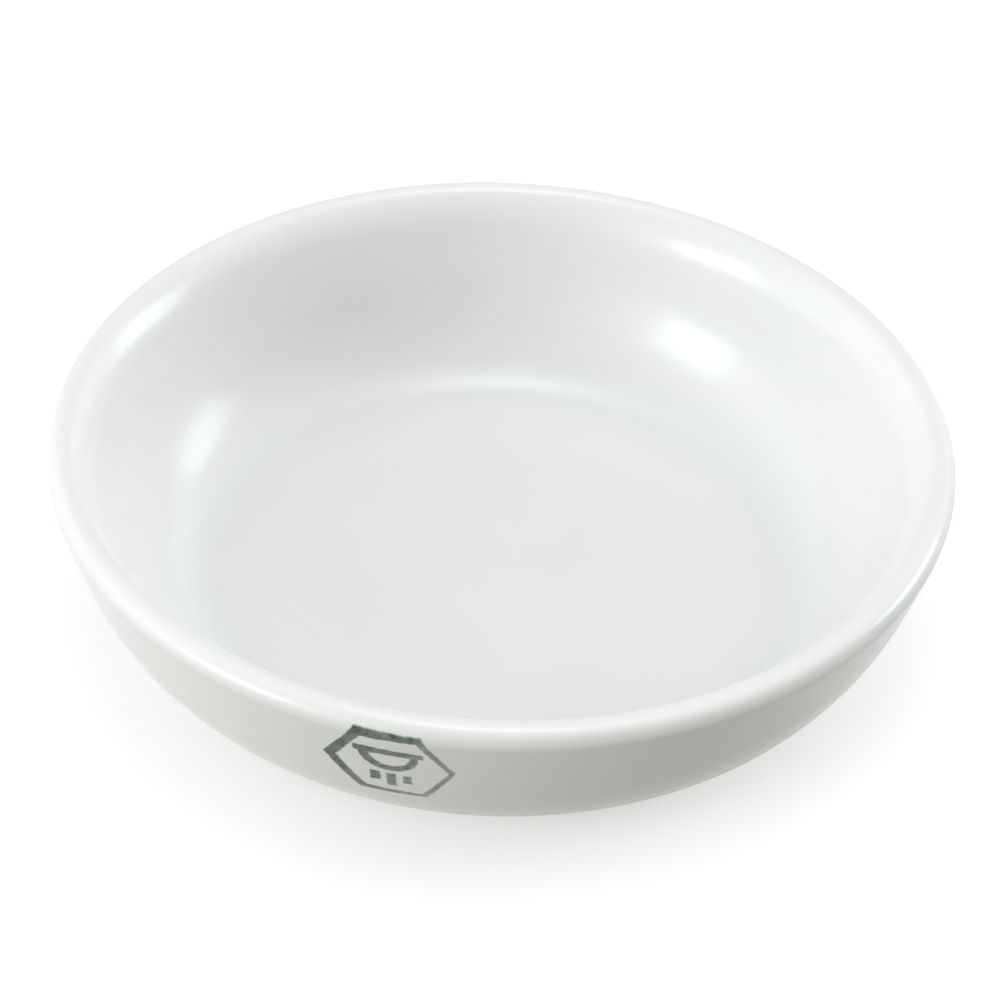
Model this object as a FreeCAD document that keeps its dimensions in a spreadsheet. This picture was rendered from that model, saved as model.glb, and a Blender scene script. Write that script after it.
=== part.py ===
import FreeCAD, Part
import math
import os
import Sketcher

# Porcelain evaporating dish, flat bottomed, 100 mm across the rim.
#
# Frame: the dish stands on the XY plane with its axis on +Z, and the origin is the centre of its
# base. The printed mark is on the outside of the wall, a little to the left of the -Y side.
#
# The dish is a body of revolution. Going down from the lip, the outside of its wall is a straight
# leaning stretch and then an arc, the belly. Inside, the lip rolls over a wide shoulder into a
# straight stretch of the same lean, then a belly of its own, and a blend arc to a flat floor. The
# wall is thickest under the shoulder and thins a little towards the floor.

START, END, CENTRE = 1, 2, 3
ORIGIN_GEOMETRY = -1
Z_AXIS_GEOMETRY = -2

DRIVING_SIZES = [
    ("rim_radius", 50.0, "outside of the lip at its widest"),
    ("rim_height", 23.5, "top of the lip above the base"),
    ("lip_radius", 1.8, "round of the lip, from the outside of the wall over its top"),
    ("shoulder_radius", 8.5, "roll from the lip to the inside of the wall"),
    ("shoulder_start", 48.0, "degrees above level that the lip faces where the roll begins"),
    ("wall_lean", 18.2, "degrees that the straight stretches lean out from upright"),
    ("outer_straight", 6.67, "length of the straight stretch outside, under the lip"),
    ("outer_belly", 25.65, "radius of the arc under the straight stretch outside"),
    ("inner_straight", 4.6, "length of the straight stretch inside, under the shoulder"),
    ("inner_belly", 22.05, "radius of the arc under the straight stretch inside"),
    ("floor_level", 3.5, "top of the glazed floor above the base"),
    ("floor_blend", 9.0, "radius between the floor and the inside of the belly"),
    ("foot_radius", 36.0, "outside of the bare foot"),
    ("foot_land", 4.5, "width of the ring that stands on the bench"),
    ("foot_bevel", 0.3, "bevel round the outside of the foot"),
    ("base_recess", 0.6, "depth of the hollow inside the foot ring"),
    ("base_round", 0.5, "radius in the corner of that hollow"),
    ("glaze_thickness", 0.3, "glassy coat over the body"),
    ("glaze_line", 1.3, "level where the coat ends above the base"),
    ("ink_thickness", 0.05, "printed film on the coat"),
    ("mark_angle", -12.0, "degrees round from the -Y side, positive towards +X"),
    ("mark_level", 16.4, "middle of the mark above the base"),
    ("mark_reach", 6.9, "middle of the mark to a corner of its hexagon"),
    ("mark_line", 0.85, "width of the printed lines"),
    ("mark_bowl", 3.1, "outside radius of the little bowl in the mark"),
    ("mark_bar", 3.6, "half length of the bar across the little bowl"),
    ("mark_gap", 0.75, "space between the little bowl and the strokes of heat under it"),
    ("mark_rise", 2.3, "how far the bar's underside is above the middle of the hexagon"),
    ("stencil_depth", 3.0, "length of the prisms that cut the mark out of the film"),
    ("stencil_sunk", 2.0, "how much of that length lies inside the wall"),
]

# The strokes of heat under the little bowl: place across and length, in units of its radius.
HEAT_STROKES = [(-0.55, 0.5), (0, 0.8), (0.55, 0.5)]


def make_sheet(doc):
    """Writes the driving sizes into the document's spreadsheet."""
    sheet = doc.addObject("Spreadsheet::Sheet", "Sizes")
    for row, (alias, value, meaning) in enumerate(DRIVING_SIZES, start=1):
        sheet.set(f"A{row}", meaning)
        sheet.set(f"B{row}", str(value))
        sheet.setAlias(f"B{row}", alias)
    doc.recompute()
    return sheet


def origin_plane(body, role):
    """The body's own origin plane that has this role."""
    return next(item for item in body.Origin.OriginFeatures if item.Role == role)


def add_sketch(body, name, role):
    """An empty sketch on one of the body's origin planes."""
    sketch = body.newObject("Sketcher::SketchObject", name)
    sketch.AttachmentSupport = [(origin_plane(body, role), "")]
    sketch.MapMode = "FlatFace"
    return sketch


def bind(sketch, name, constraint, expression):
    """Adds a dimension to the sketch and ties it to the spreadsheet."""
    index = sketch.addConstraint(constraint)
    sketch.renameConstraint(index, name)
    sketch.setExpression(f"Constraints.{name}", expression)


def outline_points(sheet, inset):
    """Where the wall's outline goes, in radius and height, when it is moved inset into the wall."""
    lean = math.radians(sheet.wall_lean)
    start = math.radians(sheet.shoulder_start)
    down = FreeCAD.Vector(-math.sin(lean), -math.cos(lean), 0)
    inward = FreeCAD.Vector(-math.cos(lean), math.sin(lean), 0)
    shoulder_way = FreeCAD.Vector(-math.cos(start), math.sin(start), 0)
    lip_centre = FreeCAD.Vector(
        sheet.rim_radius - sheet.lip_radius, sheet.rim_height - sheet.lip_radius, 0
    )
    shoulder_centre = lip_centre - shoulder_way * (sheet.shoulder_radius - sheet.lip_radius)
    inner_top = shoulder_centre + inward * sheet.shoulder_radius
    inner_centre = inner_top + down * sheet.inner_straight + inward * sheet.inner_belly
    outer_top = lip_centre - inward * sheet.lip_radius
    outer_centre = outer_top + down * sheet.outer_straight + inward * sheet.outer_belly
    blend_level = sheet.floor_level + sheet.floor_blend
    blend_gap = sheet.inner_belly - sheet.floor_blend
    drop = inner_centre.y - blend_level
    blend_centre = FreeCAD.Vector(inner_centre.x + math.sqrt(blend_gap**2 - drop**2), blend_level, 0)
    return {
        "floor_middle": FreeCAD.Vector(0, sheet.floor_level - inset, 0),
        "floor_edge": FreeCAD.Vector(blend_centre.x, sheet.floor_level - inset, 0),
        "blend_centre": blend_centre,
        "inner_centre": inner_centre,
        "inner_low": inner_centre - inward * (sheet.inner_belly + inset),
        "inner_high": inner_top - inward * inset,
        "shoulder_centre": shoulder_centre,
        "lip_centre": lip_centre,
        "outer_high": outer_top + inward * inset,
        "outer_low": outer_centre - inward * (sheet.outer_belly - inset),
        "outer_centre": outer_centre,
    }


def arc(centre, radius, first_angle, last_angle):
    """A counter-clockwise arc between two angles in radians."""
    circle = Part.Circle(centre, FreeCAD.Vector(0, 0, 1), radius)
    return Part.ArcOfCircle(circle, first_angle, last_angle)


def heading(start, finish):
    """The angle of the way from one point to another."""
    return math.atan2(finish.y - start.y, finish.x - start.x)


def draw_wall(sketch, sheet, inset, inset_term, outer_end):
    """Draws the floor, the inside, the lip and the outside down to outer_end.

    inset_term is the same inset as an expression. Returns the number of each curve in the sketch.
    """
    place = outline_points(sheet, inset)
    inner = place["inner_centre"]
    outer = place["outer_centre"]
    shoulder = place["shoulder_centre"]
    lip = place["lip_centre"]
    blend = place["blend_centre"]
    floor = sketch.addGeometry(Part.LineSegment(place["floor_middle"], place["floor_edge"]))
    floor_blend = sketch.addGeometry(
        arc(blend, sheet.floor_blend + inset, -math.pi / 2, heading(inner, blend))
    )
    inner_belly = sketch.addGeometry(
        arc(
            inner,
            sheet.inner_belly + inset,
            heading(inner, blend),
            heading(inner, place["inner_low"]),
        )
    )
    inner_wall = sketch.addGeometry(Part.LineSegment(place["inner_low"], place["inner_high"]))
    round_shoulder = sketch.addGeometry(
        arc(
            shoulder,
            sheet.shoulder_radius - inset,
            heading(shoulder, lip),
            heading(shoulder, place["inner_high"]),
        )
    )
    round_lip = sketch.addGeometry(
        arc(
            lip,
            sheet.lip_radius - inset,
            heading(lip, place["outer_high"]),
            heading(shoulder, lip),
        )
    )
    outer_wall = sketch.addGeometry(Part.LineSegment(place["outer_high"], place["outer_low"]))
    outer_belly = sketch.addGeometry(
        arc(
            outer,
            sheet.outer_belly - inset,
            heading(outer, outer_end),
            heading(outer, place["outer_low"]),
        )
    )

    add = sketch.addConstraint
    add(Sketcher.Constraint("Horizontal", floor))
    add(Sketcher.Constraint("PointOnObject", floor, START, Z_AXIS_GEOMETRY))
    add(Sketcher.Constraint("Tangent", floor, END, floor_blend, START))
    add(Sketcher.Constraint("Tangent", floor_blend, END, inner_belly, START))
    add(Sketcher.Constraint("Tangent", inner_belly, END, inner_wall, START))
    add(Sketcher.Constraint("Tangent", inner_wall, END, round_shoulder, END))
    add(Sketcher.Constraint("Tangent", round_shoulder, START, round_lip, END))
    add(Sketcher.Constraint("Tangent", round_lip, START, outer_wall, START))
    add(Sketcher.Constraint("Tangent", outer_wall, END, outer_belly, END))
    add(Sketcher.Constraint("Parallel", inner_wall, outer_wall))

    bind(
        sketch,
        "lip_centre_out",
        Sketcher.Constraint("DistanceX", ORIGIN_GEOMETRY, START, round_lip, CENTRE, lip.x),
        "Sizes.rim_radius - Sizes.lip_radius",
    )
    bind(
        sketch,
        "lip_centre_up",
        Sketcher.Constraint("DistanceY", ORIGIN_GEOMETRY, START, round_lip, CENTRE, lip.y),
        "Sizes.rim_height - Sizes.lip_radius",
    )
    bind(
        sketch,
        "lip_round",
        Sketcher.Constraint("Radius", round_lip, sheet.lip_radius - inset),
        f"Sizes.lip_radius - {inset_term}",
    )
    bind(
        sketch,
        "shoulder_round",
        Sketcher.Constraint("Radius", round_shoulder, sheet.shoulder_radius - inset),
        f"Sizes.shoulder_radius - {inset_term}",
    )
    bind(
        sketch,
        "shoulder_out",
        Sketcher.Constraint(
            "DistanceX", round_lip, CENTRE, round_shoulder, CENTRE, shoulder.x - lip.x
        ),
        "(Sizes.shoulder_radius - Sizes.lip_radius) * cos(Sizes.shoulder_start * 1 deg)",
    )
    bind(
        sketch,
        "lean",
        Sketcher.Constraint("Angle", outer_wall, math.radians(-90 - sheet.wall_lean)),
        "-90 deg - Sizes.wall_lean * 1 deg",
    )
    bind(
        sketch,
        "straight_outside",
        Sketcher.Constraint("Distance", outer_wall, sheet.outer_straight),
        "Sizes.outer_straight",
    )
    bind(
        sketch,
        "belly_outside",
        Sketcher.Constraint("Radius", outer_belly, sheet.outer_belly - inset),
        f"Sizes.outer_belly - {inset_term}",
    )
    bind(
        sketch,
        "straight_inside",
        Sketcher.Constraint("Distance", inner_wall, sheet.inner_straight),
        "Sizes.inner_straight",
    )
    bind(
        sketch,
        "belly_inside",
        Sketcher.Constraint("Radius", inner_belly, sheet.inner_belly + inset),
        f"Sizes.inner_belly + {inset_term}",
    )
    bind(
        sketch,
        "floor_up",
        Sketcher.Constraint("DistanceY", ORIGIN_GEOMETRY, START, floor, START, place["floor_edge"].y),
        f"Sizes.floor_level - {inset_term}",
    )
    bind(
        sketch,
        "blend_round",
        Sketcher.Constraint("Radius", floor_blend, sheet.floor_blend + inset),
        f"Sizes.floor_blend + {inset_term}",
    )
    return {"floor": floor, "outer_belly": outer_belly}


def revolve(body, sketch, name):
    """Turns the sketch a full turn about the dish's axis."""
    turned = body.newObject("PartDesign::Revolution", name)
    turned.Profile = sketch
    turned.ReferenceAxis = (sketch, ["V_Axis"])
    turned.Angle = 360
    return turned


def belly_at_level(sheet, inset, level):
    """The point of the outside of the belly at this level."""
    centre = outline_points(sheet, inset)["outer_centre"]
    reach = math.sqrt((sheet.outer_belly - inset) ** 2 - (centre.y - level) ** 2)
    return FreeCAD.Vector(centre.x + reach, level, 0)


def belly_at_radius(sheet, inset, radius):
    """The point of the outside of the belly at this radius."""
    centre = outline_points(sheet, inset)["outer_centre"]
    drop = math.sqrt((sheet.outer_belly - inset) ** 2 - (radius - centre.x) ** 2)
    return FreeCAD.Vector(radius, centre.y - drop, 0)


def make_porcelain_body(doc, sheet):
    """The fired clay: floor, wall and lip under the glaze, and a bare foot ring that stands flat."""
    body = doc.addObject("PartDesign::Body", "porcelain_body")
    sketch = add_sketch(body, "body_outline", "XZ_Plane")
    foot_top = belly_at_radius(sheet, sheet.glaze_thickness, sheet.foot_radius)
    foot_corner = FreeCAD.Vector(sheet.foot_radius, 0, 0)
    middle = FreeCAD.Vector(0, 0, 0)
    wall = draw_wall(sketch, sheet, sheet.glaze_thickness, "Sizes.glaze_thickness", foot_top)
    foot_side = sketch.addGeometry(Part.LineSegment(foot_top, foot_corner))
    base = sketch.addGeometry(Part.LineSegment(foot_corner, middle))
    floor_middle = outline_points(sheet, sheet.glaze_thickness)["floor_middle"]
    axis = sketch.addGeometry(Part.LineSegment(middle, floor_middle))
    add = sketch.addConstraint
    add(Sketcher.Constraint("Coincident", wall["outer_belly"], START, foot_side, START))
    add(Sketcher.Constraint("Vertical", foot_side))
    add(Sketcher.Constraint("Coincident", foot_side, END, base, START))
    add(Sketcher.Constraint("Coincident", base, END, ORIGIN_GEOMETRY, START))
    add(Sketcher.Constraint("Horizontal", base))
    add(Sketcher.Constraint("Coincident", base, END, axis, START))
    add(Sketcher.Constraint("Coincident", axis, END, wall["floor"], START))
    bind(
        sketch,
        "foot_out",
        Sketcher.Constraint("DistanceX", ORIGIN_GEOMETRY, START, base, START, sheet.foot_radius),
        "Sizes.foot_radius",
    )
    revolve(body, sketch, "body_turned")
    doc.recompute()
    cut_base_recess(doc, body, sheet)
    soften_foot(doc, body, sheet)
    return body


def cut_base_recess(doc, body, sheet):
    """Hollows the underside inside the foot ring, so that the dish stands on the ring alone."""
    sketch = add_sketch(body, "recess_circle", "XY_Plane")
    radius = sheet.foot_radius - sheet.foot_land
    circle = sketch.addGeometry(
        Part.Circle(FreeCAD.Vector(0, 0, 0), FreeCAD.Vector(0, 0, 1), radius)
    )
    sketch.addConstraint(
        Sketcher.Constraint("Coincident", circle, CENTRE, ORIGIN_GEOMETRY, START)
    )
    bind(
        sketch,
        "recess_round",
        Sketcher.Constraint("Radius", circle, radius),
        "Sizes.foot_radius - Sizes.foot_land",
    )
    recess = body.newObject("PartDesign::Pocket", "base_recess")
    recess.Profile = sketch
    recess.Reversed = True
    recess.setExpression("Length", "Sizes.base_recess")
    doc.recompute()


def circles_at(shape, radius, level):
    """The names of the shape's whole circles about the axis, at this radius and level."""
    near = 1e-4
    names = []
    for number, edge in enumerate(shape.Edges, start=1):
        if not isinstance(edge.Curve, Part.Circle):
            continue
        if abs(edge.Curve.Radius - radius) < near and abs(edge.Curve.Center.z - level) < near:
            names.append(f"Edge{number}")
    return names


def soften_foot(doc, body, sheet):
    """Bevels the outside of the foot ring and rounds the corner of the hollow inside it."""
    inner_radius = sheet.foot_radius - sheet.foot_land
    rounded = body.newObject("PartDesign::Fillet", "recess_corner")
    recess = body.getObject("base_recess")
    rounded.Base = (recess, circles_at(recess.Shape, inner_radius, sheet.base_recess))
    rounded.setExpression("Radius", "Sizes.base_round")
    doc.recompute()
    bevel = body.newObject("PartDesign::Chamfer", "foot_edge")
    bevel.Base = (rounded, circles_at(rounded.Shape, sheet.foot_radius, 0))
    bevel.setExpression("Size", "Sizes.foot_bevel")
    doc.recompute()


def make_dish_form(doc, sheet, name, inset, inset_term):
    """A plain dish form that ends flat at the glaze line, with its surface moved by the inset."""
    body = doc.addObject("PartDesign::Body", name)
    sketch = add_sketch(body, f"{name}_outline", "XZ_Plane")
    outer_end = belly_at_level(sheet, inset, sheet.glaze_line)
    underside_middle = FreeCAD.Vector(0, sheet.glaze_line, 0)
    wall = draw_wall(sketch, sheet, inset, inset_term, outer_end)
    underside = sketch.addGeometry(Part.LineSegment(outer_end, underside_middle))
    floor_middle = outline_points(sheet, inset)["floor_middle"]
    axis = sketch.addGeometry(Part.LineSegment(underside_middle, floor_middle))
    add = sketch.addConstraint
    add(Sketcher.Constraint("Coincident", wall["outer_belly"], START, underside, START))
    add(Sketcher.Constraint("Horizontal", underside))
    add(Sketcher.Constraint("Coincident", underside, END, axis, START))
    add(Sketcher.Constraint("Vertical", axis))
    add(Sketcher.Constraint("Coincident", axis, END, wall["floor"], START))
    bind(
        sketch,
        "line_up",
        Sketcher.Constraint(
            "DistanceY", ORIGIN_GEOMETRY, START, underside, END, sheet.glaze_line
        ),
        "Sizes.glaze_line",
    )
    revolve(body, sketch, f"{name}_turned")
    doc.recompute()
    return body


def make_glaze_coat(doc, glazed_form, porcelain_body):
    """The glassy coat: the glazed form without the porcelain that it covers."""
    coat = doc.addObject("Part::Cut", "glaze_coat")
    coat.Base = glazed_form
    coat.Tool = porcelain_body
    return coat


def add_prism(doc, name, reach):
    """A hexagonal prism of the stencil, with a corner on each side and flats above and below."""
    prism = doc.addObject("Part::Prism", name)
    prism.Polygon = 6
    prism.setExpression("Circumradius", reach)
    prism.setExpression("Height", "Sizes.stencil_depth")
    return prism


def add_disc(doc, name, radius, sweep=360):
    """A round prism of the stencil, or part of one."""
    disc = doc.addObject("Part::Cylinder", name)
    disc.Angle = sweep
    disc.setExpression("Radius", radius)
    disc.setExpression("Height", "Sizes.stencil_depth")
    return disc


def cut(doc, name, base, tool):
    """One stencil piece less another."""
    result = doc.addObject("Part::Cut", name)
    result.Base = base
    result.Tool = tool
    return result


def add_bar(doc, name, left, low, length, height):
    """A straight bar of the stencil from its left lower corner."""
    bar = doc.addObject("Part::Box", name)
    bar.setExpression("Length", length)
    bar.setExpression("Width", height)
    bar.setExpression("Height", "Sizes.stencil_depth")
    bar.setExpression("Placement.Base.x", left)
    bar.setExpression("Placement.Base.y", f"{low} + Sizes.mark_rise")
    return bar


def make_mark_stencil(doc):
    """The mark as straight prisms: a hexagon round a little bowl over a fire."""
    frame = cut(
        doc,
        "stencil_hexagon",
        add_prism(doc, "hexagon_outside", "Sizes.mark_reach"),
        add_prism(doc, "hexagon_inside", "Sizes.mark_reach - Sizes.mark_line"),
    )
    bowl = cut(
        doc,
        "stencil_bowl",
        add_disc(doc, "bowl_outside", "Sizes.mark_bowl", sweep=180),
        add_disc(doc, "bowl_inside", "Sizes.mark_bowl - Sizes.mark_line", sweep=180),
    )
    bowl.Placement = FreeCAD.Placement(
        FreeCAD.Vector(0, 0, 0), FreeCAD.Rotation(FreeCAD.Vector(0, 0, 1), 180)
    )
    bowl.setExpression("Placement.Base.y", "Sizes.mark_rise")
    rim = add_bar(
        doc, "stencil_rim", "-Sizes.mark_bar", "0", "2 * Sizes.mark_bar", "Sizes.mark_line"
    )
    pieces = [frame, bowl, rim]
    for number, (across, length) in enumerate(HEAT_STROKES, start=1):
        stroke = add_bar(
            doc,
            f"stencil_heat_{number}",
            f"{across} * Sizes.mark_bowl - Sizes.mark_line / 2",
            f"-(1 + {length}) * Sizes.mark_bowl - Sizes.mark_gap",
            "Sizes.mark_line",
            f"{length} * Sizes.mark_bowl",
        )
        pieces.append(stroke)
    stencil = doc.addObject("Part::MultiFuse", "mark_stencil")
    stencil.Shapes = pieces
    place_on_wall(stencil)
    return stencil


def place_on_wall(stencil):
    """Stands the stencil square to the outside of the wall, at the mark's place."""
    lean = "Sizes.wall_lean * 1 deg"
    tangent_radius = f"(Sizes.rim_radius - Sizes.lip_radius * (1 - cos({lean})))"
    tangent_level = f"(Sizes.rim_height - Sizes.lip_radius * (1 + sin({lean})))"
    radius = f"({tangent_radius} - ({tangent_level} - Sizes.mark_level) * tan({lean}))"
    sunk_radius = f"({radius} - Sizes.stencil_sunk * cos({lean}))"
    sunk_level = f"(Sizes.mark_level + Sizes.stencil_sunk * sin({lean}))"
    turn = "Sizes.mark_angle * 1 deg"
    stencil.setExpression(
        "Placement",
        f"placement(vector({sunk_radius} * sin({turn}); -{sunk_radius} * cos({turn}); {sunk_level});"
        f" rotation(Sizes.mark_angle; 0; 90 + Sizes.wall_lean))",
    )


def make_fired_mark(doc, stencil, inked_form, glazed_form):
    """The printed film: the stencil's share of the layer that lies on the glaze."""
    inside_stencil = doc.addObject("Part::Common", "inked_stencil")
    inside_stencil.Base = inked_form
    inside_stencil.Tool = stencil
    return cut(doc, "fired_mark", inside_stencil, glazed_form)


def check_document(doc):
    """Stops if any object of the document failed, or a sketch isn't fully dimensioned."""
    for item in doc.Objects:
        for flag in ("Invalid", "Error"):
            if flag in item.State:
                raise RuntimeError(f"{item.Name} is {flag}: {item.getStatusString()}")
        if item.isDerivedFrom("Sketcher::SketchObject") and not item.FullyConstrained:
            raise RuntimeError(f"{item.Name} isn't fully constrained")


def check_shape(piece):
    """Stops if a sub-part has no sound solid."""
    if piece.Shape.isNull() or not piece.Shape.isValid():
        raise RuntimeError(f"{piece.Label} has no valid shape")
    if not piece.Shape.Solids:
        raise RuntimeError(f"{piece.Label} holds no solid")


def main():
    doc = FreeCAD.newDocument("evaporating_dish")
    sheet = make_sheet(doc)
    porcelain_body = make_porcelain_body(doc, sheet)
    glazed_form = make_dish_form(doc, sheet, "glazed_form", 0, "0")
    inked_form = make_dish_form(
        doc, sheet, "inked_form", -sheet.ink_thickness, "(-Sizes.ink_thickness)"
    )
    glaze_coat = make_glaze_coat(doc, glazed_form, porcelain_body)
    stencil = make_mark_stencil(doc)
    fired_mark = make_fired_mark(doc, stencil, inked_form, glazed_form)
    doc.recompute()
    check_document(doc)
    pieces = [porcelain_body, glaze_coat, fired_mark]
    for piece in pieces:
        check_shape(piece)
    os.makedirs("parts", exist_ok=True)
    for piece in pieces:
        piece.Shape.exportStep(f"parts/{piece.Label}.step")
        box = piece.Shape.optimalBoundingBox()
        print(
            f"{piece.Label}: {len(piece.Shape.Solids)} solids, {piece.Shape.Volume:.2f} mm3,"
            f" x {box.XMin:.2f} {box.XMax:.2f}, y {box.YMin:.2f} {box.YMax:.2f},"
            f" z {box.ZMin:.2f} {box.ZMax:.2f}"
        )


main()
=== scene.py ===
"""The looks of a glazed porcelain evaporating dish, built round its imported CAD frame."""
import math

import bpy
import numpy as np
from mathutils import Matrix, Vector, noise


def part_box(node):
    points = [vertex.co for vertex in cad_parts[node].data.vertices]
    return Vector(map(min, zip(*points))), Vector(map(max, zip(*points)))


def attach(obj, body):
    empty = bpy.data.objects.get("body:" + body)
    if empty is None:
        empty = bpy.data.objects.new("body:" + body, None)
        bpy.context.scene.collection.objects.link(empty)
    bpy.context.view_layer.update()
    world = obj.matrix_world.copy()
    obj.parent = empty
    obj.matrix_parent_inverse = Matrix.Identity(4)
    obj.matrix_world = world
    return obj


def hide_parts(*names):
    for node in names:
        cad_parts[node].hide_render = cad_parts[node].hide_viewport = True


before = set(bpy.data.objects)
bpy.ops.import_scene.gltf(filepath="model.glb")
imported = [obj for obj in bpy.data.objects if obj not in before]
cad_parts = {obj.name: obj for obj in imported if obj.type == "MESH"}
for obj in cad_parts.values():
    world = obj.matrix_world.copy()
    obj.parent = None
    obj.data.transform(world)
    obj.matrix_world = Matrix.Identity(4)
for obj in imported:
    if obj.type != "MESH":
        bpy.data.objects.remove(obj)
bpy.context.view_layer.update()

MM = 0.001
TURN = 2 * math.pi

# Sizes that the frame gives.
glaze_low, glaze_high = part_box("glaze_coat")
biscuit_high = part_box("porcelain_body")[1]
RIM_RADIUS = glaze_high.x
RIM_HEIGHT = glaze_high.z
GLAZE_LINE = glaze_low.z
GLAZE_THICKNESS = glaze_high.z - biscuit_high.z

# The wall's outline under the lip, as in the CAD part.
LIP_RADIUS = 1.8 * MM
SHOULDER_RADIUS = 8.5 * MM
SHOULDER_START = math.radians(48)
LEAN = math.radians(18.2)
OUTER_STRAIGHT, OUTER_BELLY = 6.67 * MM, 25.65 * MM
INNER_STRAIGHT, INNER_BELLY = 4.6 * MM, 22.05 * MM
FLOOR_LEVEL = 3.5 * MM
FLOOR_BLEND = 9.0 * MM

# How far the fired and glazed surface strays from the true outline, and over what length.
BROAD_SWELL, BROAD_LENGTH = 0.05 * MM, 24 * MM
FINE_SWELL, FINE_LENGTH = 0.007 * MM, 6.5 * MM
FINE_NOISE_PLACE = Vector((7, 3, 5))
RING_SWELL, RING_LENGTH = 0.004 * MM, 2.6 * MM

# How far the dish is out of round and its lip out of level: size, waves round the dish, and start.
OUT_OF_ROUND, OVAL_WAVES, OVAL_START = 0.10 * MM, 2, 0.7
LIP_WAVE, LIP_WAVES, LIP_START = 0.07 * MM, 3, 1.9

# The lower edge of the coat: a bead that swells a little and wanders up and down.
BEAD_SWELL, BEAD_PLACE, BEAD_WIDTH = 0.10 * MM, 0.65 * MM, 0.35 * MM
EDGE_WANDER, EDGE_REACH = 0.22 * MM, 3.0 * MM

# Sums of waves: how many fit round the dish, how strong each is, and its start.
RING_DRIFT = [(1, 1.3, 0.6), (2, 0.8, 2.1)]
EDGE_WAVES = [(3, 0.5, 1.1), (7, 0.3, 4.0), (17, 0.2, 0)]

# Where the melted glaze gathers, in the curve of the floor and at the lower edge, and how far
# down from the top of the lip it is thin.
POOL_RADIUS, POOL_WIDTH = 34 * MM, 4 * MM
POOL_AT_EDGE = 1.2 * MM
THIN_ON_LIP = 1.4 * MM
EVEN_COAT = 0.5

# How finely the coat is meshed: round the dish, and along its outline outside and inside.
COLUMNS = 360
OUTER_STEP, INNER_STEP = 0.6 * MM, 1.6 * MM

# The printed mark, as in the CAD part. Its little bowl has a bar for a rim, a gap under it, and
# strokes of heat, whose places and lengths are in bowl radii.
MARK_ANGLE = math.radians(-12)
MARK_LEVEL = 16.4 * MM
MARK_REACH = 6.9 * MM
MARK_LINE = 0.85 * MM
MARK_BOWL = 3.1 * MM
MARK_BAR = 3.6 * MM
MARK_GAP = 0.75 * MM
MARK_RISE = 2.3 * MM
HEAT_STROKES = [(-0.55, 0.5), (0, 0.8), (0.55, 0.5)]

# The ink: its film, the steps of its mesh and of the wall under it, how its edge fades and
# wavers, how far it spreads, and how far it dives under the glaze where it ends.
INK_THICKNESS, INK_DEPTH = 0.04 * MM, 0.08 * MM
MARK_GRID, WALL_STEP = 0.08 * MM, 0.1 * MM
INK_FADE = 0.26 * MM
INK_ROUGH_EDGE, INK_ROUGH_LENGTH = 0.09 * MM, 0.7 * MM
INK_SPREAD = 0.45 * MM
INK_SINK = 0.25

# How hard the stamp was pressed: everywhere, more on the left, and less low on the right. The
# ink spreads where it was pressed harder than the middle, and draws in elsewhere.
PRESS_EVEN, PRESS_LEFT, PRESS_LOW = 0.45, 0.6, 0.35
PRESS_MIDDLE = 0.5

# The camera, fitted to the rim and the outline of the dish: elevation in degrees, distance and
# aim in rim radii, lens and sensor in millimetres.
CAMERA_ELEVATION = 38.56
CAMERA_ROLL = math.radians(2.47)
CAMERA_DISTANCE = 9.0
CAMERA_AIM = Vector((0, 0.038, 0.248))
CAMERA_LENS = 144.57
SENSOR_WIDTH = 36


# ---------------------------------------------------------------- the dish's surface


# The directions square to the wall's straight stretch and down along it: radius and level.
OUTWARD = np.array([math.cos(LEAN), -math.sin(LEAN)])
DOWN = np.array([-math.sin(LEAN), -math.cos(LEAN)])


def outline_centres():
    """The centres of the lip, shoulder, belly inside, belly outside and blend: radius and level."""
    lip = np.array([RIM_RADIUS - LIP_RADIUS, RIM_HEIGHT - LIP_RADIUS])
    shoulder_way = np.array([math.cos(SHOULDER_START), -math.sin(SHOULDER_START)])
    shoulder = lip + (SHOULDER_RADIUS - LIP_RADIUS) * shoulder_way
    inside = shoulder + DOWN * INNER_STRAIGHT - OUTWARD * (SHOULDER_RADIUS + INNER_BELLY)
    outside = lip + DOWN * OUTER_STRAIGHT - OUTWARD * (OUTER_BELLY - LIP_RADIUS)
    level = FLOOR_LEVEL + FLOOR_BLEND
    reach = math.sqrt((INNER_BELLY - FLOOR_BLEND) ** 2 - (inside[1] - level) ** 2)
    blend = np.array([inside[0] + reach, level])
    return lip, shoulder, inside, outside, blend


def line_rows(start, finish, normal, step):
    """Points along a straight stretch, without its end, each with its normal."""
    count = max(1, round(np.linalg.norm(finish - start) / step))
    share = np.arange(count)[:, None] / count
    points = start + (finish - start) * share
    return np.hstack([points, np.tile(normal, (count, 1))])


def arc_rows(centre, radius, first, last, side, step):
    """Points along an arc, without its end. side is 1 if the surface faces out of the arc."""
    count = max(2, round(abs(last - first) * radius / step))
    angle = first + (last - first) * np.arange(count) / count
    way = np.column_stack([np.cos(angle), np.sin(angle)])
    return np.hstack([centre + radius * way, side * way])


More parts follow.
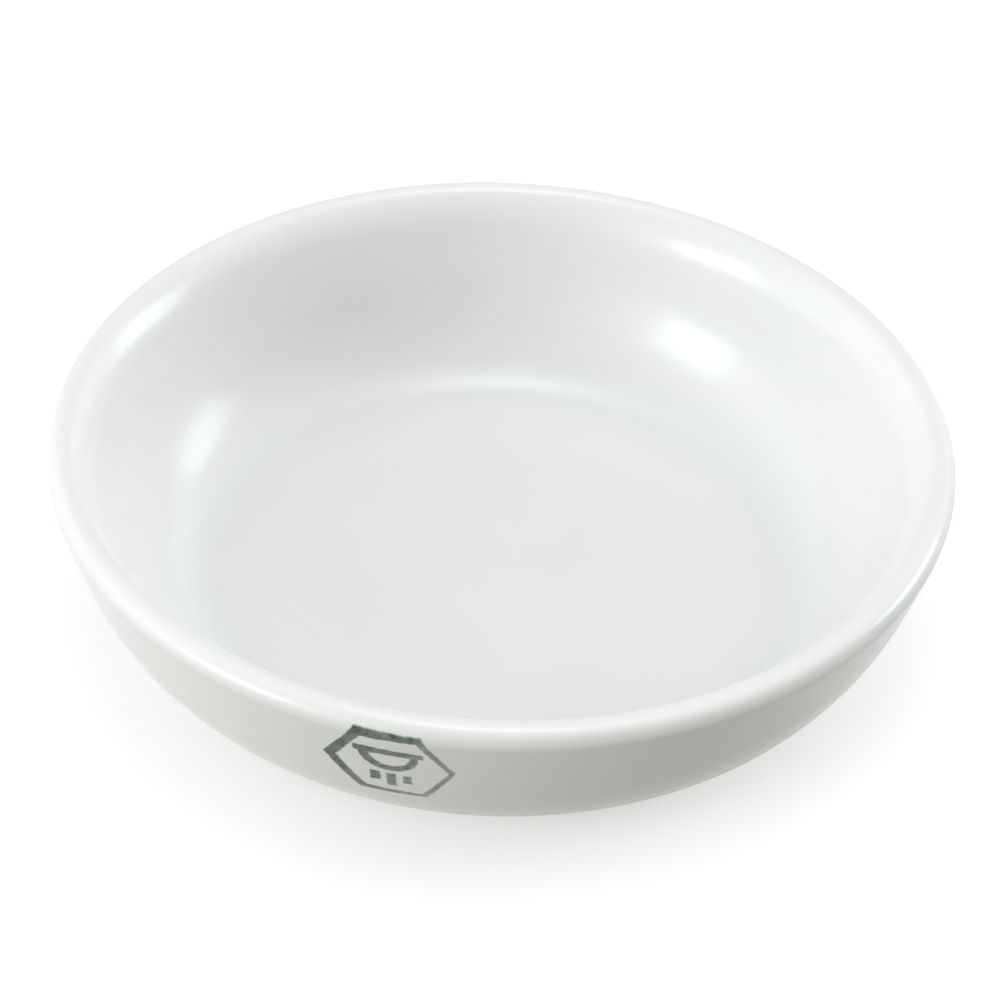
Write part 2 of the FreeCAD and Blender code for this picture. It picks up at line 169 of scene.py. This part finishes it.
def outline_rows(depth, step):
    """The wall's outline this deep under the glazed surface: radius, level and normal.

    It runs from the middle of the floor over the lip and down the outside to the glaze line. Its
    steps are longer on the flat floor, and shorter on the shoulder and the lip.
    """
    lip, shoulder, inside, outside, blend = outline_centres()
    floor = FLOOR_LEVEL - depth
    inner_radius, outer_radius = INNER_BELLY + depth, OUTER_BELLY - depth
    join = math.atan2(*(blend - inside)[::-1])
    end = -math.asin((outside[1] - GLAZE_LINE) / outer_radius)
    last_normal = np.array([math.cos(end), math.sin(end)])
    inner_low = inside + inner_radius * OUTWARD
    inner_high = shoulder - (SHOULDER_RADIUS - depth) * OUTWARD
    outer_high = lip + (LIP_RADIUS - depth) * OUTWARD
    outer_low = outside + outer_radius * OUTWARD
    turn = math.pi - SHOULDER_START
    floor_middle, floor_edge = np.array([0, floor]), np.array([blend[0], floor])
    return np.vstack(
        [
            line_rows(floor_middle, floor_edge, np.array([0, 1]), 2 * step),
            arc_rows(blend, FLOOR_BLEND + depth, -math.pi / 2, join, -1, step),
            arc_rows(inside, inner_radius, join, -LEAN, -1, step),
            line_rows(inner_low, inner_high, -OUTWARD, step),
            arc_rows(shoulder, SHOULDER_RADIUS - depth, math.pi - LEAN, turn, 1, step / 2),
            arc_rows(lip, LIP_RADIUS - depth, turn, -LEAN, 1, step / 3),
            line_rows(outer_high, outer_low, OUTWARD, step),
            arc_rows(outside, outer_radius, -LEAN, end, 1, step),
            np.hstack([outside + outer_radius * last_normal, last_normal])[None],
        ]
    )


def along(rows):
    """The distance of each point from the last one, back along the outline."""
    steps = np.linalg.norm(np.diff(rows[:, :2], axis=0), axis=1)
    return np.concatenate([np.cumsum(steps[::-1])[::-1], [0]])


def swell(point):
    """How far the surface stands off the true outline at a point, in metres."""
    broad = noise.noise(Vector(point) / BROAD_LENGTH)
    fine = noise.noise(Vector(point) / FINE_LENGTH + FINE_NOISE_PLACE)
    return BROAD_SWELL * broad + FINE_SWELL * fine


def wave_sum(azimuth, parts):
    """A sum of waves round the dish."""
    return sum(size * np.sin(count * azimuth + start) for count, size, start in parts)


def rings(distance, azimuth):
    """The faint rings that turning leaves, in metres."""
    drift = wave_sum(azimuth, RING_DRIFT)
    return RING_SWELL * np.sin(TURN * distance / RING_LENGTH + drift)


def warp(points, azimuth):
    """Moves points a little out of round and up and down, most at the rim."""
    share = (np.clip(points[:, 2], 0, None) / RIM_HEIGHT) ** 2
    outward = OUT_OF_ROUND * np.cos(OVAL_WAVES * azimuth + OVAL_START) * share
    moved = points.copy()
    moved[:, 0] += outward * np.sin(azimuth)
    moved[:, 1] -= outward * np.cos(azimuth)
    moved[:, 2] += LIP_WAVE * np.cos(LIP_WAVES * azimuth + LIP_START) * share
    return moved


def on_surface(radius, level, normal, azimuth, distance, lift):
    """Points in space for places on the outline, lifted and moved by the surface's unevenness."""
    sine, cosine = np.sin(azimuth), np.cos(azimuth)
    points = np.column_stack([radius * sine, -radius * cosine, level])
    normals = np.column_stack([normal[:, 0] * sine, -normal[:, 0] * cosine, normal[:, 1]])
    uneven = np.array([swell(point) for point in points]) + rings(distance, azimuth)
    return warp(points + normals * (uneven + lift)[:, None], azimuth)


def coat_thickness(distance):
    """The coat's thickness at a distance from its lower edge: a bead, then an even coat."""
    rise = np.clip(distance / GLAZE_THICKNESS, 0, 1)
    bead = BEAD_SWELL * np.exp(-(((distance - BEAD_PLACE) / BEAD_WIDTH) ** 2))
    return GLAZE_THICKNESS * np.sqrt(1 - (1 - rise) ** 2) + bead * rise


def edge_shift(distance, azimuth):
    """How far the coat's lower edge wanders along the surface, fading out above it."""
    fade = np.clip(1 - distance / EDGE_REACH, 0, 1) ** 2
    return EDGE_WANDER * wave_sum(azimuth, EDGE_WAVES) * fade


def ring_of_points(row, distance, lift, uneven, azimuths):
    """One ring of the coat's points, at one place on the outline."""
    count = len(azimuths)
    shift = edge_shift(distance, azimuths)
    tangent = np.array([row[3], -row[2]])
    radius = row[0] + tangent[0] * shift
    level = row[1] + tangent[1] * shift
    if uneven:
        normal = np.tile(row[2:], (count, 1))
        return on_surface(radius, level, normal, azimuths, distance, lift)
    points = np.column_stack([radius * np.sin(azimuths), -radius * np.cos(azimuths), level])
    return warp(points, azimuths)


def make_mesh(name, points, faces):
    """A smooth-shaded object of these points and faces."""
    mesh = bpy.data.meshes.new(name)
    mesh.from_pydata([tuple(point) for point in points], [], faces)
    mesh.validate()
    mesh.shade_smooth()
    piece = bpy.data.objects.new(name, mesh)
    bpy.context.scene.collection.objects.link(piece)
    return piece


def add_values(piece, name, values):
    """Stores a number for each point of the mesh, for its material to read."""
    attribute = piece.data.attributes.new(name, "FLOAT", "POINT")
    attribute.data.foreach_set("value", np.asarray(values, np.float32))


def grid_faces(ring_count, first_pole, last_pole):
    """Faces between the rings of a turned shell whose two ends close on single points."""
    faces = []
    for column in range(COLUMNS):
        after = (column + 1) % COLUMNS
        faces.append((first_pole, column, after))
        for ring in range(ring_count - 1):
            low, high = ring * COLUMNS, (ring + 1) * COLUMNS
            faces.append((low + column, high + column, high + after, low + after))
        end = (ring_count - 1) * COLUMNS
        faces.append((last_pole, end + after, end + column))
    return faces


def pooling(row, distance):
    """From 0, a thin coat on the lip, to 1, a thick one where the melted glaze gathers."""
    faces_up = row[3] > 0
    in_blend = math.exp(-(((row[0] - POOL_RADIUS) / POOL_WIDTH) ** 2)) if faces_up else 0
    at_edge = math.exp(-((distance / POOL_AT_EDGE) ** 2))
    on_lip = math.exp(-(((row[1] - RIM_HEIGHT) / THIN_ON_LIP) ** 2))
    return EVEN_COAT + (1 - EVEN_COAT) * max(in_blend, at_edge) - EVEN_COAT * on_lip


def make_glaze():
    """The coat as one closed shell: its glossy outside, its lower edge, and its hidden inside."""
    azimuths = np.arange(COLUMNS) * TURN / COLUMNS
    outer = outline_rows(0, OUTER_STEP)
    inner = outline_rows(GLAZE_THICKNESS, INNER_STEP)
    outer_distance, inner_distance = along(outer), along(inner)
    rings_made, pooled = [], []
    for row, distance in zip(outer[1:], outer_distance[1:]):
        is_edge = distance == 0
        place = inner[-1] if is_edge else row
        lift = 0 if is_edge else coat_thickness(distance) - GLAZE_THICKNESS
        rings_made.append(ring_of_points(place, distance, lift, not is_edge, azimuths))
        pooled.append(pooling(row, distance))
    for row, distance in zip(inner[-2:0:-1], inner_distance[-2:0:-1]):
        rings_made.append(ring_of_points(row, distance, 0, False, azimuths))
        pooled.append(0)
    top = [0, 0, outer[0][1]]
    bottom = [0, 0, inner[0][1]]
    points = np.vstack(rings_made + [[top], [bottom]])
    pole = len(rings_made) * COLUMNS
    piece = make_mesh("glaze", points, grid_faces(len(rings_made), pole, pole + 1))
    add_values(piece, "pooling", np.concatenate([np.repeat(pooled, COLUMNS), [0, 0]]))
    return piece


# ---------------------------------------------------------------- the printed mark


def hexagon_distance(across, up):
    """Distance outside the middle line of the mark's hexagon, negative inside it."""
    apothem = (MARK_REACH - MARK_LINE / 2) * math.cos(math.pi / 6)
    sides = [math.radians(30 + 60 * side) for side in range(6)]
    reaches = [across * math.cos(side) + up * math.sin(side) for side in sides]
    return np.max(reaches, axis=0) - apothem


def bowl_distance(across, up):
    """Distance from the ink of the half ring that draws the little bowl."""
    middle = MARK_BOWL - MARK_LINE / 2
    on_arc = np.abs(np.hypot(across, up) - middle)
    at_ends = np.hypot(np.abs(across) - middle, up)
    return np.where(up < 0, on_arc, at_ends) - MARK_LINE / 2


def bar_distance(across, up, middle, low, half_length, height):
    """Distance from the ink of a straight bar, negative inside it."""
    side = np.abs(across - middle) - half_length
    top = np.abs(up - low - height / 2) - height / 2
    outside = np.hypot(np.clip(side, 0, None), np.clip(top, 0, None))
    return outside + np.minimum(np.maximum(side, top), 0)


def ink_distance(across, up):
    """Distance from the nearest printed line, negative inside it."""
    above_rim = up - MARK_RISE
    half_line = MARK_LINE * math.cos(math.pi / 6) / 2
    shapes = [
        np.abs(hexagon_distance(across, up)) - half_line,
        bowl_distance(across, above_rim),
        bar_distance(across, above_rim, 0, 0, MARK_BAR, MARK_LINE),
    ]
    for place, share in HEAT_STROKES:
        middle, length = place * MARK_BOWL, share * MARK_BOWL
        low = -MARK_BOWL - MARK_GAP - length
        shapes.append(bar_distance(across, above_rim, middle, low, MARK_LINE / 2, length))
    return np.min(shapes, axis=0)


def wall_places(across, up):
    """Where points of the mark's flat drawing land on the outside of the wall.

    Returns radius, level, normal, azimuth and distance along the outline.
    """
    rows = outline_rows(0, WALL_STEP)
    distance = along(rows)
    lip = outline_centres()[0]
    outside = rows[:, 2] > 0
    rows, distance = rows[outside][::-1], distance[outside][::-1]
    straight_top = lip + LIP_RADIUS * OUTWARD
    middle_radius = straight_top[0] - (straight_top[1] - MARK_LEVEL) * math.tan(LEAN)
    places = []
    for x, y in zip(across, up):
        turned = np.arcsin(x / rows[:, 0])
        height = (rows[:, 0] * np.cos(turned) - middle_radius) * math.sin(LEAN)
        height += (rows[:, 1] - MARK_LEVEL) * math.cos(LEAN)
        values = [np.interp(y, height, column) for column in (*rows.T, turned, distance)]
        places.append(values)
    radius, level, normal_out, normal_up, turned, distance = np.array(places).T
    normal = np.column_stack([normal_out, normal_up])
    return radius, level, normal, MARK_ANGLE + turned, distance


def closed_faces(squares, count):
    """The faces of a sheet, its underside, and the walls round its borders."""
    top = [tuple(int(corner) for corner in square) for square in squares]
    below = [tuple(corner + count for corner in reversed(square)) for square in top]
    sides = [side for square in top for side in zip(square, (*square[1:], square[0]))]
    shared = set(sides)
    walls = [
        (start, start + count, finish + count, finish)
        for start, finish in sides
        if (finish, start) not in shared
    ]
    return top + below + walls


def pressed(across, up):
    """How hard the stamp was pressed, from 0 to 1: hardest on the left, faint low on the right."""
    left = 0.5 - 0.5 * across / MARK_REACH
    low = 0.5 - 0.5 * up / MARK_REACH
    return np.clip(PRESS_EVEN + PRESS_LEFT * left - PRESS_LOW * low * (1 - left), 0, 1)


def make_mark():
    """The printed film: a closed thin sheet that swells out of the glaze where there is ink."""
    columns = round(2 * (MARK_REACH + INK_FADE) / MARK_GRID) + 1
    across_steps = (np.arange(columns) - (columns - 1) / 2) * MARK_GRID
    across, up = [values.ravel() for values in np.meshgrid(across_steps, across_steps)]
    rough = [noise.noise(Vector((x, y, 0)) / INK_ROUGH_LENGTH) for x, y in zip(across, up)]
    distance = ink_distance(across, up) + INK_ROUGH_EDGE * np.array(rough)
    distance -= INK_SPREAD * (pressed(across, up) - PRESS_MIDDLE)
    kept = distance < INK_FADE
    corner = np.arange(columns * columns).reshape(columns, columns)[:-1, :-1].ravel()
    squares = np.column_stack([corner, corner + 1, corner + columns + 1, corner + columns])
    squares = squares[kept[squares].all(axis=1)]
    used = np.unique(squares)
    squares = np.searchsorted(used, squares)
    density = np.clip(0.5 - distance[used] / INK_FADE, 0, 1)
    places = wall_places(across[used], up[used])
    top = on_surface(*places, INK_THICKNESS * ((1 + INK_SINK) * np.sqrt(density) - INK_SINK))
    below = on_surface(*places, -INK_DEPTH)
    piece = make_mesh("printed_mark", np.vstack([top, below]), closed_faces(squares, len(used)))
    add_values(piece, "ink", np.concatenate([density, density]))
    press = pressed(across[used], up[used])
    add_values(piece, "press", np.concatenate([press, press]))
    return piece


# ---------------------------------------------------------------- materials


def node_adder(tree):
    """A function that adds a node to this tree, sets it up and links its inputs."""

    def add(kind, settings=None, inputs=None):
        node = tree.nodes.new(kind)
        for key, value in (settings or {}).items():
            setattr(node, key, value)
        for key, value in (inputs or {}).items():
            if isinstance(value, bpy.types.NodeSocket):
                tree.links.new(value, node.inputs[key])
            else:
                node.inputs[key].default_value = value
        return node

    return add


def new_material(name):
    """A material with its shader, and functions that add nodes and link sockets."""
    material = bpy.data.materials.new(name)
    material.use_nodes = True
    tree = material.node_tree
    return material, tree.nodes["Principled BSDF"], node_adder(tree), tree.links.new


def noise_of(add, place, pattern):
    """A noise pattern over the object."""
    scale, detail, roughness = pattern
    inputs = {"Vector": place, "Scale": scale, "Detail": detail, "Roughness": roughness}
    return add("ShaderNodeTexNoise", inputs=inputs).outputs["Fac"]


def ranged(add, value, source, target):
    """The value, stretched from one range to another and held inside it."""
    ends = {"From Min": source[0], "From Max": source[1], "To Min": target[0], "To Max": target[1]}
    return add("ShaderNodeMapRange", inputs={"Value": value, **ends}).outputs["Result"]


def product(add, first, second):
    """Two values multiplied."""
    return add("ShaderNodeMath", {"operation": "MULTIPLY"}, {0: first, 1: second}).outputs[0]


def mixed(add, share, first, second):
    """A mix of two colours."""
    node = add("ShaderNodeMix", {"data_type": "RGBA"}, {"Factor": share})
    for socket, colour in (("A", first), ("B", second)):
        target = next(s for s in node.inputs if s.name == socket and s.type == "RGBA")
        if isinstance(colour, bpy.types.NodeSocket):
            node.id_data.links.new(colour, target)
        else:
            target.default_value = (*colour, 1)
    return next(s for s in node.outputs if s.type == "RGBA")


def bumped(add, height, distance):
    """A normal bent by a height pattern this deep."""
    return add("ShaderNodeBump", inputs={"Height": height, "Distance": distance}).outputs["Normal"]


# Noise patterns: features to the metre, layers of detail, and the strength of the finer layers.
GLAZE_CLOUD = (45, 3, 0.5)
GLAZE_GLOSS = (90, 4, 0.5)
GLAZE_RIPPLE = (700, 2, 0.5)
CLAY_GRAIN = (2600, 3, 0.65)
CLAY_PATCH = (130, 4, 0.6)
CLAY_WEAR = (420, 4, 0.7)
INK_MOTTLE = (1100, 4, 0.7)
FLOOR_CLOUD = (6, 3, 0.5)

# The parts of a noise pattern's range that are stretched out, and the whole range.
NARROW = (0.35, 0.65)
WIDE = (0.3, 0.7)
FULL = (0, 1)

WHITE_GLAZE = (0.770, 0.770, 0.755)
THIN_GLAZE = (0.785, 0.782, 0.768)
POOLED_GLAZE = (0.750, 0.760, 0.750)
IRON_SPECK = (0.22, 0.17, 0.12)
GLAZE_ROUGHNESS = (0.17, 0.24)
GLASS_IOR = 1.52
RIPPLE_HEIGHT = 0.004 * MM
POOLED_SHARE = 0.8

# Iron specks: cells to the metre, which cells have one, how far it reaches in its cell, and how
# strong it is.
SPECK_SCALE = 170
SPECK_CELLS = (0.93, 0.95)
SPECK_REACH = (0.02, 0.035)
SPECK_STRENGTH = 0.55


def glaze_material():
    """White glaze: faintly cloudy, a touch greener where it pools, with a few iron specks."""
    material, shader, add, link = new_material("white_glaze")
    place = add("ShaderNodeTexCoord").outputs["Object"]
    pooling_value = add("ShaderNodeAttribute", {"attribute_name": "pooling"}).outputs["Fac"]
    cloud = ranged(add, noise_of(add, place, GLAZE_CLOUD), NARROW, FULL)
    white = mixed(add, cloud, WHITE_GLAZE, THIN_GLAZE)
    gathered = ranged(add, pooling_value, (EVEN_COAT, 1), (0, POOLED_SHARE))
    white = mixed(add, gathered, white, POOLED_GLAZE)
    cells = add("ShaderNodeTexVoronoi", inputs={"Vector": place, "Scale": SPECK_SCALE})
    chosen = ranged(add, cells.outputs["Color"], SPECK_CELLS, FULL)
    near = ranged(add, cells.outputs["Distance"], SPECK_REACH, (SPECK_STRENGTH, 0))
    colour = mixed(add, product(add, chosen, near), white, IRON_SPECK)
    gloss = ranged(add, noise_of(add, place, GLAZE_GLOSS), WIDE, GLAZE_ROUGHNESS)
    link(colour, shader.inputs["Base Color"])
    link(gloss, shader.inputs["Roughness"])
    link(bumped(add, noise_of(add, place, GLAZE_RIPPLE), RIPPLE_HEIGHT), shader.inputs["Normal"])
    shader.inputs["IOR"].default_value = GLASS_IOR
    return material


BISCUIT = (0.70, 0.68, 0.63)
BISCUIT_LIGHT = (0.77, 0.755, 0.715)
BENCH_GREY = (0.36, 0.33, 0.29)
CLAY_ROUGHNESS = (0.78, 0.95)
GRAIN_HEIGHT = 0.03 * MM

# The soiling at the foot: how high it reaches, which part of the wear pattern it fills, and how
# strong it is.
SOIL_HEIGHT = 0.45 * MM
SOIL_PATCHES = (0.42, 0.62)
SOIL_STRENGTH = 0.5


def biscuit_material():
    """Bare fired clay: a dry, finely grained off-white that is soiled where it meets the bench."""
    material, shader, add, link = new_material("biscuit_porcelain")
    place = add("ShaderNodeTexCoord").outputs["Object"]
    level = add("ShaderNodeSeparateXYZ", inputs={"Vector": place}).outputs["Z"]
    grain = noise_of(add, place, CLAY_GRAIN)
    patch = ranged(add, noise_of(add, place, CLAY_PATCH), NARROW, FULL)
    clay = mixed(add, patch, BISCUIT, BISCUIT_LIGHT)
    low = ranged(add, level, (0, SOIL_HEIGHT), (1, 0))
    worn = ranged(add, noise_of(add, place, CLAY_WEAR), SOIL_PATCHES, (0, SOIL_STRENGTH))
    link(mixed(add, product(add, low, worn), clay, BENCH_GREY), shader.inputs["Base Color"])
    link(ranged(add, grain, WIDE, CLAY_ROUGHNESS), shader.inputs["Roughness"])
    link(bumped(add, grain, GRAIN_HEIGHT), shader.inputs["Normal"])
    return material


INK_DARK = (0.040, 0.052, 0.042)
INK_THIN = (0.24, 0.31, 0.25)
INK_ROUGHNESS = (0.18, 0.34)

# How much the mottle thins or thickens the ink, between which amounts its colour deepens, and
# over which part of its faded edge it comes to cover the glaze.
INK_UNEVEN = (-0.55, 0.4)
INK_TONES = (0.1, 0.9)
INK_COVER = (0.02, 0.8)


def ink_material():
    """Fired green-black ink: dense where the stamp was pressed, thin and mottled elsewhere."""
    material, shader, add, link = new_material("green_ink")
    place = add("ShaderNodeTexCoord").outputs["Object"]
    ink = add("ShaderNodeAttribute", {"attribute_name": "ink"}).outputs["Fac"]
    press = add("ShaderNodeAttribute", {"attribute_name": "press"}).outputs["Fac"]
    mottle = ranged(add, noise_of(add, place, INK_MOTTLE), WIDE, INK_UNEVEN)
    dense = add("ShaderNodeMath", {"operation": "ADD"}, {0: press, 1: mottle}).outputs[0]
    colour = mixed(add, ranged(add, dense, INK_TONES, FULL), INK_THIN, INK_DARK)
    cover = ranged(add, ink, INK_COVER, FULL)
    link(mixed(add, cover, WHITE_GLAZE, colour), shader.inputs["Base Color"])
    link(ranged(add, dense, FULL, INK_ROUGHNESS), shader.inputs["Roughness"])
    shader.inputs["IOR"].default_value = GLASS_IOR
    return material


PALE_LIGHT = (0.62, 0.62, 0.62)
PALE_SHADE = (0.60, 0.60, 0.60)
PALE_ROUGHNESS, PALE_SHINE = 0.9, 0.1

# How much light the floor and the backdrop give off themselves.
FLOOR_GLOW = 0.5
BACKDROP_GLOW = 0.6


def pale_material(name, glow):
    """The plain pale stuff of the studio, lit a little from behind like a light table."""
    material, shader, add, link = new_material(name)
    place = add("ShaderNodeTexCoord").outputs["Object"]
    colour = mixed(add, noise_of(add, place, FLOOR_CLOUD), PALE_SHADE, PALE_LIGHT)
    link(colour, shader.inputs["Base Color"])
    shader.inputs["Roughness"].default_value = PALE_ROUGHNESS
    shader.inputs["Specular IOR Level"].default_value = PALE_SHINE
    shader.inputs["Emission Color"].default_value = (1, 1, 1, 1)
    shader.inputs["Emission Strength"].default_value = glow
    return material


def dress(piece, material):
    """Gives the whole piece one material."""
    if not piece.material_slots:
        piece.data.materials.append(material)
    for slot in piece.material_slots:
        slot.material = material


# ---------------------------------------------------------------- the studio


ROOM_COLOUR = (0.99, 1.01, 1.00)
BENCH_COLOUR = (1.10, 1.07, 0.83)
SKY_COLOUR = (0.925, 0.995, 1.08)

# Soft glows of the studio: compass angle, elevation, tightness, brightness and colour.
GLOWS = [
    (-135, 15, 8, 0.82, ROOM_COLOUR),
    (-90, 15, 8, 1.46, ROOM_COLOUR),
    (-45, 15, 8, 1.61, ROOM_COLOUR),
    (135, 15, 8, 1.57, ROOM_COLOUR),
    (90, 45, 8, 1.29, ROOM_COLOUR),
    (0, 90, 6, 1.21, ROOM_COLOUR),
    (180, 84, 60, 3.50, ROOM_COLOUR),
    (0, -20, 8, 0.47, BENCH_COLOUR),
    (0, -90, 3, 0.31, BENCH_COLOUR),
]

# The windows: compass angle, elevation, width and height in metres, and brightness. Below is how
# many metres they stand from the dish.
WINDOWS = {
    "window_left": (-58, 20, 0.46, 0.45, 5.0),
    "window_right": (110, 17, 0.50, 0.42, 4.6),
}
WINDOW_DISTANCE = 1.2


def way(azimuth, elevation):
    """The direction towards a compass angle from the -Y side, positive to +X, and an elevation."""
    turn, rise = math.radians(azimuth), math.radians(elevation)
    flat = math.cos(rise)
    return Vector((math.sin(turn) * flat, -math.cos(turn) * flat, math.sin(rise)))


def add_window(name, azimuth, elevation, width, height, brightness):
    """A soft rectangular light that faces the dish."""
    panel = bpy.data.lights.new(name, "AREA")
    panel.shape = "RECTANGLE"
    panel.size, panel.size_y = width, height
    panel.color = SKY_COLOUR
    panel.energy = brightness * math.pi * width * height
    lamp = bpy.data.objects.new(name, panel)
    lamp.location = way(azimuth, elevation) * WINDOW_DISTANCE
    lamp.rotation_mode = "QUATERNION"
    lamp.rotation_quaternion = lamp.location.to_track_quat("Z", "Y")
    lamp.visible_camera = False
    bpy.context.scene.collection.objects.link(lamp)


def light_the_studio():
    """Two windows whose reflections show as bright patches on the wall and streaks on the rim."""
    for name, window in WINDOWS.items():
        add_window(name, *window)


def glow_light(add, place, glow):
    """The light of one glow, which is brightest in one direction and fades away from it."""
    azimuth, elevation, tightness, brightness, colour = glow
    direction = {0: place, 1: way(azimuth, elevation)}
    nearness = add("ShaderNodeVectorMath", {"operation": "DOT_PRODUCT"}, direction).outputs["Value"]
    power = {0: nearness, 1: tightness, 2: -tightness}
    power = add("ShaderNodeMath", {"operation": "MULTIPLY_ADD"}, power).outputs[0]
    fade = add("ShaderNodeMath", {"operation": "EXPONENT"}, {0: power}).outputs[0]
    full = tuple(brightness * part for part in colour)
    return add("ShaderNodeVectorMath", {"operation": "SCALE"}, {0: full, "Scale": fade}).outputs[0]


def light_the_sky():
    """The studio's surround: the sum of its glows."""
    world = bpy.data.worlds.new("studio")
    world.use_nodes = True
    add = node_adder(world.node_tree)
    place = add("ShaderNodeTexCoord").outputs["Generated"]
    total = (0, 0, 0)
    for glow in GLOWS:
        both = {0: total, 1: glow_light(add, place, glow)}
        total = add("ShaderNodeVectorMath", {"operation": "ADD"}, both).outputs[0]
    background = world.node_tree.nodes["Background"]
    world.node_tree.links.new(total, background.inputs["Color"])
    bpy.context.scene.world = world


# The size of the floor and the backdrop, in rim radii.
STUDIO_REACH = 30
STUDIO_HEIGHT = 20
BACKDROP_SIDES = 96


def make_floor():
    """The floor under the dish, wide enough to fill every view from above.

    It doesn't keep the glows below it from the dish, and lights the dish only in reflections.
    """
    half = STUDIO_REACH * RIM_RADIUS
    corners = [(-half, -half, 0), (half, -half, 0), (half, half, 0), (-half, half, 0)]
    floor = make_mesh("studio_floor", np.array(corners), [(0, 1, 2, 3)])
    dress(floor, pale_material("pale_floor", FLOOR_GLOW))
    floor.visible_diffuse = False
    floor.visible_shadow = False


def make_backdrop():
    """A pale wall all round, which only the camera sees, so low views have a plain background."""
    turn = np.arange(BACKDROP_SIDES) * TURN / BACKDROP_SIDES
    reach, height = STUDIO_REACH * RIM_RADIUS, STUDIO_HEIGHT * RIM_RADIUS
    low = np.column_stack([reach * np.cos(turn), reach * np.sin(turn), np.zeros(BACKDROP_SIDES)])
    faces = []
    for side in range(BACKDROP_SIDES):
        after = (side + 1) % BACKDROP_SIDES
        faces.append((side, side + BACKDROP_SIDES, after + BACKDROP_SIDES, after))
    backdrop = make_mesh("studio_backdrop", np.vstack([low, low + [0, 0, height]]), faces)
    dress(backdrop, pale_material("pale_backdrop", BACKDROP_GLOW))
    backdrop.visible_diffuse = False
    backdrop.visible_glossy = False
    backdrop.visible_shadow = False


def make_camera():
    """The camera at the fitted viewing angle."""
    aim = CAMERA_AIM * RIM_RADIUS
    back = way(0, CAMERA_ELEVATION)
    level_right = Vector((1, 0, 0))
    level_up = back.cross(level_right)
    right = level_right * math.cos(CAMERA_ROLL) + level_up * math.sin(CAMERA_ROLL)
    up = back.cross(right)
    data = bpy.data.cameras.new("camera")
    data.lens = CAMERA_LENS
    data.sensor_width = SENSOR_WIDTH
    camera = bpy.data.objects.new("camera", data)
    turn = Matrix((right, up, back)).transposed().to_4x4()
    camera.matrix_world = Matrix.Translation(aim + back * CAMERA_DISTANCE * RIM_RADIUS) @ turn
    bpy.context.scene.collection.objects.link(camera)
    bpy.context.scene.camera = camera


def main():
    glaze = make_glaze()
    dress(glaze, glaze_material())
    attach(glaze, "root")
    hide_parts("glaze_coat")

    mark = make_mark()
    dress(mark, ink_material())
    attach(mark, "root")
    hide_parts("fired_mark")

    dress(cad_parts["porcelain_body"], biscuit_material())

    make_floor()
    make_backdrop()
    light_the_sky()
    light_the_studio()
    make_camera()
    bpy.context.scene.view_settings.view_transform = "Standard"


main()
